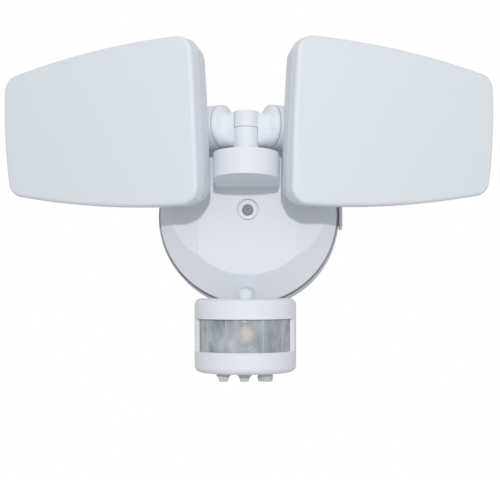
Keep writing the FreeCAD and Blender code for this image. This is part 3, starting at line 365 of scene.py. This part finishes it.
white_plastic = moulded_plastic("white_plastic", WHITE, 0.58, 0.10)
plate_plastic_painted_shade = moulded_plastic("plate_plastic_painted_shade", PLATE_SHADED_WHITE, 0.62, 0.2)
# Dark grey rubber: on the cover's seal it is a painted shadow for the gap round the cover; on the grommet it is
# the rubber's own colour.
seal_rubber = moulded_plastic("seal_rubber", (0.27, 0.28, 0.30), 0.8, 0.5)
foam = moulded_plastic("foam", (0.05, 0.05, 0.05), 0.95, 1.0)

dress(plate_plastic_painted_shade, "wall_plate")
dress(foam, "wall_gasket")
# The cover's seal shows as a dark ring round the cover: a painted shadow.
dress(seal_rubber, "cover_gasket", "cable_grommet")
softened("side_clip", 0.6 * MM, white_plastic)
softened("base_cover", 1.0 * MM, white_plastic, crease=12)


# --- cover bolt ----------------------------------------------------------------------------------
# One domed bolt with a cross recess holds the cover. It has a dull grey coating, and a white ring
# under its head seals the recess that it sits in.

BOLT_PLACE = (0.0, -33.3 * MM, 1.6 * MM)
BOLT_TURN = 20.0
BOLT_STEPS = 64
# Half section of the bolt: distance from its axis, and from its crown back into the base.
BOLT_PROFILE = ((0, 0), (1.2, 0.05), (2.3, 0.25), (3.1, 0.7), (3.6, 1.3), (3.75, 1.9),
                (3.75, 2.7), (3.65, 2.8), (2.4, 2.8), (2.4, 25.5), (2.1, 25.8), (0, 25.8))
CROSS_LENGTH = 2.2 * MM
CROSS_WIDTH = 0.5 * MM
CROSS_DEPTH = 0.9 * MM
CROSS_TAPER = 0.6

white_seal = moulded_plastic("white_seal", (0.84, 0.85, 0.87), 0.5, 0.05)
softened("bolt_seal", 0.4 * MM, white_seal)

bolt_coating = moulded_plastic("bolt_coating", (0.33, 0.34, 0.37), 0.5, 0.6, 0.8)
cross_arms = []
for length, width in ((CROSS_LENGTH, CROSS_WIDTH), (CROSS_WIDTH, CROSS_LENGTH)):
    wedge = bmesh.new()
    bmesh.ops.create_cube(wedge, size=2.0)
    for vert in wedge.verts:
        taper = 1.0 if vert.co.z > 0 else CROSS_TAPER
        vert.co = (vert.co.x * length * taper, vert.co.y * width * taper, vert.co.z * CROSS_DEPTH)
    cross_arms.append(("DIFFERENCE", shell_object("wedge", wedge)))
bolt = combine(shell_object("bolt", turned(BOLT_PROFILE, BOLT_STEPS)), *cross_arms)
bmesh.ops.transform(bolt, verts=bolt.verts, matrix=(
    Matrix.Translation(BOLT_PLACE) @ Matrix.Rotation(math.radians(90), 4, "X")
    @ Matrix.Rotation(math.radians(BOLT_TURN), 4, "Z")))
stand_for("cover_bolt", bolt, bolt_coating, "cover_bolt_turned")


# --- driver, terminals and nuts inside the base --------------------------------------------------
# A potted driver in a black case and a natural nylon terminal block stand on the plate's floor.
# They are hidden by the cover, like the plated screws and the nylon nuts.

plated_steel = machined_metal("plated_steel", (0.62, 0.62, 0.64), 0.34, 0.85)
nut_nylon = moulded_plastic("nut_nylon", (0.6, 0.6, 0.6), 0.5, 0.1)

dress(moulded_plastic("driver_case", (0.03, 0.03, 0.033), 0.5, 0.4), "driver_box")
dress(moulded_plastic("natural_nylon", (0.70, 0.68, 0.58), 0.5, 0.2), "terminal_block")
dress(plated_steel, "driver_screws", "bracket_screws", "pivot_bolt")
dress(nut_nylon, "pivot_nut", "sensor_arm_nut")


# --- bracket -------------------------------------------------------------------------------------
# A thick white tongue stands out of the cover's upper front and carries both heads on one upright
# bolt. It is moulded, with small radii on all its edges.

softened("head_bracket", 0.7 * MM, white_plastic)


# --- yokes ---------------------------------------------------------------------------------------
# Each head hangs on a moulded yoke: a ring on the upright bolt, and a web that flares from it into
# a round disc. The two rings are stacked to one post; the right one is on top, under a flat cap.

PAN_ANGLE = 25.0
POST_RADIUS = 8.2 * MM
POST_TOP = 7.3 * MM
POST_BOTTOM = -19.0 * MM
SEAM_TOP = -3.05 * MM
SEAM_BOTTOM = -3.35 * MM
PAN_BORE = 3.0 * MM
CAP_RADIUS = 6.6 * MM
CAP_POCKET = 0.7 * MM
TILT_BORE = 2.5 * MM
TILT_BORE_START = 13.65 * MM
DISC_END = 18.4 * MM
# Sections of the disc and its web: distance out, half width, top, bottom, and roundness, where 2
# is round and more goes towards a square.
WEB_SECTIONS = ((18.4, 13.2, 13.2, 13.2, 2.0), (18.1, 13.7, 13.7, 13.7, 2.0),
                (17.6, 13.9, 13.9, 13.9, 2.0), (15.6, 13.9, 13.9, 13.9, 2.0),
                (15.1, 13.7, 13.7, 13.85, 2.0), (14.7, 13.2, 13.2, 13.8, 2.0),
                (13.6, 11.4, 11.0, 13.7, 2.1), (12.5, 10.0, 9.3, 13.7, 2.3),
                (11.4, 9.0, 8.1, 13.8, 2.6), (10.3, 8.3, 7.5, 14.0, 3.0),
                (8.8, 7.8, 7.15, 14.3, 3.5), (5.0, 7.6, 7.15, 14.9, 4.0))
WEB_ENDS = (WEB_SECTIONS[0], WEB_SECTIONS[-1])
WEB_SEGMENTS = 72
# A web leaves room for the other yoke's ring, past its own ring's seam.
RING_CLEARANCE = 8.45 * MM
SEAM_STEP = 0.15 * MM
WEB_REACH = 20.0 * MM
YOKE_ROUNDING = 0.5 * MM
YOKE_CREASE = 38
# Side, turn of its outward axis, its own ring's bottom and top, and the other ring's room.
YOKES = (("left", 180 - PAN_ANGLE, POST_BOTTOM, SEAM_BOTTOM, SEAM_BOTTOM - SEAM_STEP, WEB_REACH),
         ("right", PAN_ANGLE, SEAM_TOP, POST_TOP, -WEB_REACH, SEAM_TOP + SEAM_STEP))


def squared(share, roundness):
    """Moves a share of a circle's radius out towards a rounded square."""
    return math.copysign(abs(share) ** (2 / roundness), share)


for side, turn, ring_low, ring_high, room_low, room_high in YOKES:
    web = bmesh.new()
    rings = []
    for web_section in WEB_SECTIONS:
        out, half_width, top, bottom, roundness = web_section
        ring = bmesh.ops.create_circle(web, segments=WEB_SEGMENTS, radius=1.0,
                                       cap_ends=web_section in WEB_ENDS)
        for vert in ring["verts"]:
            across, up = squared(vert.co.x, roundness), squared(vert.co.y, roundness)
            vert.co = Vector((out, across * half_width, up * (top if up > 0 else bottom))) * MM
        rings.append(list({edge for vert in ring["verts"] for edge in vert.link_edges}))
    for near, far in zip(rings, rings[1:]):
        bmesh.ops.bridge_loops(web, edges=near + far)
    yoke = combine(shell_object("web", web),
                   ("DIFFERENCE", cylinder(RING_CLEARANCE, room_low, room_high)),
                   ("UNION", cylinder(POST_RADIUS, ring_low, ring_high)),
                   ("DIFFERENCE", cylinder(PAN_BORE, POST_BOTTOM * 2, POST_TOP * 2)),
                   ("DIFFERENCE", cylinder(CAP_RADIUS, CAP_POCKET, POST_TOP * 2)),
                   ("DIFFERENCE", cylinder(TILT_BORE, TILT_BORE_START, DISC_END * 2, "X")))
    bmesh.ops.transform(yoke, verts=yoke.verts, matrix=(
        Matrix.Translation(joints[f"{side}_pan"]["pos_m"])
        @ Matrix.Rotation(math.radians(turn), 4, "Z")))
    piece = stand_for(f"{side}_yoke", yoke, white_plastic, crease=YOKE_CREASE)
    round_edges(piece, YOKE_ROUNDING, YOKE_CREASE, segments=2)
    dress(plated_steel, f"{side}_tilt_bolt", f"{side}_tilt_washer")
dress(white_plastic, "pivot_cap")


# --- lamp heads ----------------------------------------------------------------------------------
# A head is a shallow white housing on a round knuckle, closed by an opal diffuser that covers its
# whole front. A thin white gasket shows as a fine line between them; screws hold all from behind.

opal = moulded_plastic("opal_diffuser", (0.745, 0.775, 0.825), 0.52, 0.03, 0.99)
gasket_white = moulded_plastic("gasket_white", (0.66, 0.68, 0.71), 0.7, 0.2)
board_white = moulded_plastic("board_white", (0.75, 0.75, 0.74), 0.4, 0.05)
phosphor = moulded_plastic("led_phosphor", (0.85, 0.66, 0.12), 0.35, 0.05)

for side in ("left", "right"):
    softened(f"{side}_knuckle", 1.0 * MM, white_plastic)
    softened(f"{side}_housing", 1.2 * MM, white_plastic)
    softened(f"{side}_diffuser", 0, opal)
    dress(gasket_white, f"{side}_head_gasket")
    dress(white_plastic, f"{side}_knuckle_plug")
    dress(board_white, f"{side}_led_board")
    dress(phosphor, f"{side}_leds")
    dress(plated_steel, f"{side}_housing_screws", f"{side}_flange_screws", f"{side}_board_screws")


# --- sensor arm and swivel -----------------------------------------------------------------------
# A short sloping arm comes out of the cover's lower bevel and ends in an upright eye. The sensor
# hangs in the eye on a pin whose tongue goes into the sensor's top.

softened("sensor_arm", 0.5 * MM, white_plastic)
softened("sensor_swivel", 0.4 * MM, white_plastic)


# --- sensor shells -------------------------------------------------------------------------------
# The sensor is a short upright drum in two white shells, with rounded rims and a wide window. The
# shells meet at the window's top edge and are screwed together from inside.

softened("sensor_upper_shell", 0.5 * MM, white_plastic)
softened("sensor_lower_shell", 0.5 * MM, white_plastic)
dress(plated_steel, "sensor_pin", "sensor_screws")


# --- sensor lens and what shows through it -------------------------------------------------------
# The window's lens is a thin sheet of milky plastic. It is pressed in three fields with fine rings,
# with ribs between them and a round ridge. The detector's tan can, as the middle field blurs it, is
# painted into the lens colour as a soft tan spot.

SENSOR_PITCH = 6.0
LENS_RADIUS = 29.4 * MM
LENS_WALL = 1.0 * MM
LENS_TOP = -0.8 * MM
LENS_BOTTOM = -26.0 * MM
LENS_MIDDLE = -13.4 * MM
LENS_HALF_ANGLE = 78.0
LENS_ROWS = 60
LENS_STEPS = 312
RIB_ANGLES = (-50.0, -21.5, 24.3, 52.0)
RIB_HEIGHT = 0.22 * MM
RIB_WIDTH = 0.45 * MM
RIB_ALPHA = 0.85
FIELD_ANGLES = (-45.0, 1.4, 47.0)
RIDGE_RADIUS = 8.3 * MM
RING_PITCH = 1.5 * MM
RING_HEIGHT = 0.09 * MM
# Painted image: a soft tan spot in the lens colour stands for the detector seen through the middle field.
PAINTED_IMAGE_PLACE = Vector((1.8, -29.4, -12.4)) * MM
PAINTED_IMAGE_RADIUS = 6.6 * MM
PAINTED_IMAGE_BLUR = 4.4 * MM
PAINTED_IMAGE_TAN = (0.80, 0.75, 0.70)
SIDES_START = 20.0 * MM
SIDES_BLUR = 8.0 * MM
SIDES_PALENESS = 0.8
CLEAR_FIELD = (0.39, 0.44, 0.47)
MILKY_FIELD = (0.66, 0.69, 0.72)
MILK_SCALE = 120.0

sensor_place = (Matrix.Translation(joints["sensor_tilt"]["pos_m"])
                @ Matrix.Rotation(math.radians(SENSOR_PITCH), 4, "X"))


def lens_relief(angle, height):
    """How far the lens stands out at an angle from straight ahead and a height."""
    ribs = sum(math.exp(-(math.radians(angle - rib) * LENS_RADIUS / RIB_WIDTH) ** 2)
               for rib in RIB_ANGLES)
    field = min(FIELD_ANGLES, key=lambda middle: abs(angle - middle))
    away = math.hypot(math.radians(angle - field) * LENS_RADIUS, height - LENS_MIDDLE)
    ridge = math.exp(-((away - RIDGE_RADIUS) / RIB_WIDTH) ** 2) if field == FIELD_ANGLES[1] else 0
    return RIB_HEIGHT * max(ribs, ridge / 2) + RING_HEIGHT * (away / RING_PITCH % 1)


lens_sheet = bmesh.new()
line = bmesh.ops.create_vert(lens_sheet, co=(0, -LENS_RADIUS, LENS_BOTTOM))["vert"]
line += bmesh.ops.create_vert(lens_sheet, co=(0, -LENS_RADIUS, LENS_TOP))["vert"]
edge = lens_sheet.edges.new(line)
bmesh.ops.rotate(lens_sheet, verts=line, cent=(0, 0, 0),
                 matrix=Matrix.Rotation(math.radians(-LENS_HALF_ANGLE), 3, "Z"))
bmesh.ops.subdivide_edges(lens_sheet, edges=[edge], cuts=LENS_ROWS)
bmesh.ops.spin(lens_sheet, geom=lens_sheet.verts[:] + lens_sheet.edges[:], cent=(0, 0, 0),
               axis=(0, 0, 1), angle=math.radians(LENS_HALF_ANGLE * 2), steps=LENS_STEPS)
for vert in lens_sheet.verts:
    angle = math.degrees(math.atan2(vert.co.x, -vert.co.y))
    out = lens_relief(angle, vert.co.z) / LENS_RADIUS
    vert.co.x *= 1 + out
    vert.co.y *= 1 + out
bmesh.ops.recalc_face_normals(lens_sheet, faces=lens_sheet.faces)
bmesh.ops.transform(lens_sheet, matrix=sensor_place, verts=lens_sheet.verts)

lens = Finish(bpy.data.materials.new("lens_plastic"))
place = lens.place()
across = lens.node("ShaderNodeSeparateXYZ", {}, [place], output="X")
upright = lens.node("ShaderNodeVectorMath", {"operation": "MULTIPLY"}, [place, (1.0, 1.0, 0.5)])
milk = lens.clamp(lens.noise(upright, MILK_SCALE, 2.0) * 2.2 - 0.6)
# Painted image of the detector: the lens colour turns tan round the place where the middle field shows it.
from_painted_image = lens.node("ShaderNodeVectorMath", {"operation": "DISTANCE"},
                      [place, sensor_place @ PAINTED_IMAGE_PLACE], output="Value")
painted_detector_image = lens.clamp((PAINTED_IMAGE_RADIUS - from_painted_image) / PAINTED_IMAGE_BLUR)
ribs = 0.0
for rib in RIB_ANGLES:
    rib_x = LENS_RADIUS * math.sin(math.radians(rib))
    ribs = (1.0 - (across - rib_x).size() / RIB_WIDTH).at_least(ribs)
sides = lens.clamp((across.size() - SIDES_START) / SIDES_BLUR)
pale = lens.clamp((milk + sides * SIDES_PALENESS).at_least(ribs))
sheet_colour = lens.colours(painted_detector_image, lens.colours(pale, CLEAR_FIELD, MILKY_FIELD), PAINTED_IMAGE_TAN)
skin = lens.node("ShaderNodeBsdfPrincipled", {}, {
    "Base Color": sheet_colour,
    "Roughness": milk * 0.15 + 0.22,
    "Alpha": (milk * 0.25 + 0.46).at_least(ribs * RIB_ALPHA)})
lens.node("ShaderNodeOutputMaterial", {}, [skin])
lens_piece = stand_for("sensor_lens", lens_sheet, lens.owner, "lens_sheet")
wall = lens_piece.modifiers.new("wall", "SOLIDIFY")
wall.thickness = LENS_WALL
wall.offset = -1

dress(moulded_plastic("detector_tan", (0.86, 0.78, 0.68), 0.5, 0.1), "pir_detector")
dress(moulded_plastic("board_green", (0.10, 0.17, 0.14), 0.5, 0.1), "sensor_board", "dial_board")
dress(moulded_plastic("dial_blue", (0.02, 0.05, 0.25), 0.5, 0.1), "dial_bodies")
dress(moulded_plastic("indicator_red", (0.45, 0.02, 0.015), 0.25, 0.0), "indicator_led")


# --- knobs ---------------------------------------------------------------------------------------
# Three light grey knobs stand in a row under the sensor. Each is moulded in one piece: a shaft that
# turns in its dial, a round skirt that narrows, and a flat grip bar.

KNOB_SPACING = 12.8 * MM
KNOB_FORWARD = 15.0 * MM
KNOB_TOP = -37.1 * MM
# Side, place in the row, and turn of the grip bar.
KNOBS = (("left", -1, 0.0), ("middle", 0, 0.0), ("right", 1, 62.0))
# Half section of the skirt: distance from the knob's axis, and down from its top.
SKIRT_PROFILE = ((0.0, 0.0), (4.3, 0.0), (4.5, 0.2), (4.5, 0.9), (4.2, 1.3), (3.7, 1.7), (3.3, 2.3),
                 (3.0, 3.2), (0.0, 3.2))
SKIRT_STEPS = 48
BAR_SIZE = Vector((5.6, 8.4, 3.6)) * MM
BAR_BOTTOM = 4.6 * MM
BAR_DRAFT = 0.9
BAR_ROUNDING = 0.45 * MM
SHAFT_RADIUS = 1.4 * MM
SHAFT_LENGTH = 4.7 * MM
SHAFT_ROOT = 0.2 * MM
SHAFT_SEGMENTS = 24

knob_grey = moulded_plastic("knob_grey", (0.56, 0.57, 0.575), 0.5, 0.1)
for side, step, turn in KNOBS:
    knob = turned(SKIRT_PROFILE, SKIRT_STEPS)
    bar = bmesh.ops.create_cube(knob, size=1.0)["verts"]
    bmesh.ops.scale(knob, verts=bar, vec=BAR_SIZE)
    bmesh.ops.translate(knob, verts=bar, vec=(0, 0, BAR_SIZE.z / 2 - BAR_BOTTOM))
    bmesh.ops.scale(knob, verts=[vert for vert in bar if vert.co.z < -BAR_SIZE.z],
                    vec=(BAR_DRAFT, BAR_DRAFT, 1))
    bmesh.ops.bevel(knob, geom=list({edge for vert in bar for edge in vert.link_edges}),
                    offset=BAR_ROUNDING, offset_type="OFFSET", segments=3, profile=0.5,
                    affect="EDGES", material=-1)
    shaft = bmesh.ops.create_cone(knob, cap_ends=True, segments=SHAFT_SEGMENTS,
                                  radius1=SHAFT_RADIUS, radius2=SHAFT_RADIUS,
                                  depth=SHAFT_LENGTH)["verts"]
    bmesh.ops.translate(knob, verts=shaft, vec=(0, 0, SHAFT_LENGTH / 2 - SHAFT_ROOT))
    bmesh.ops.recalc_face_normals(knob, faces=knob.faces)
    seat = Matrix.Translation((step * KNOB_SPACING, -KNOB_FORWARD, KNOB_TOP))
    bmesh.ops.transform(knob, verts=knob.verts, matrix=(
        sensor_place @ seat @ Matrix.Rotation(math.radians(turn), 4, "Z")))
    stand_for(f"knob_{side}", knob, knob_grey, f"knob_{side}_moulding")
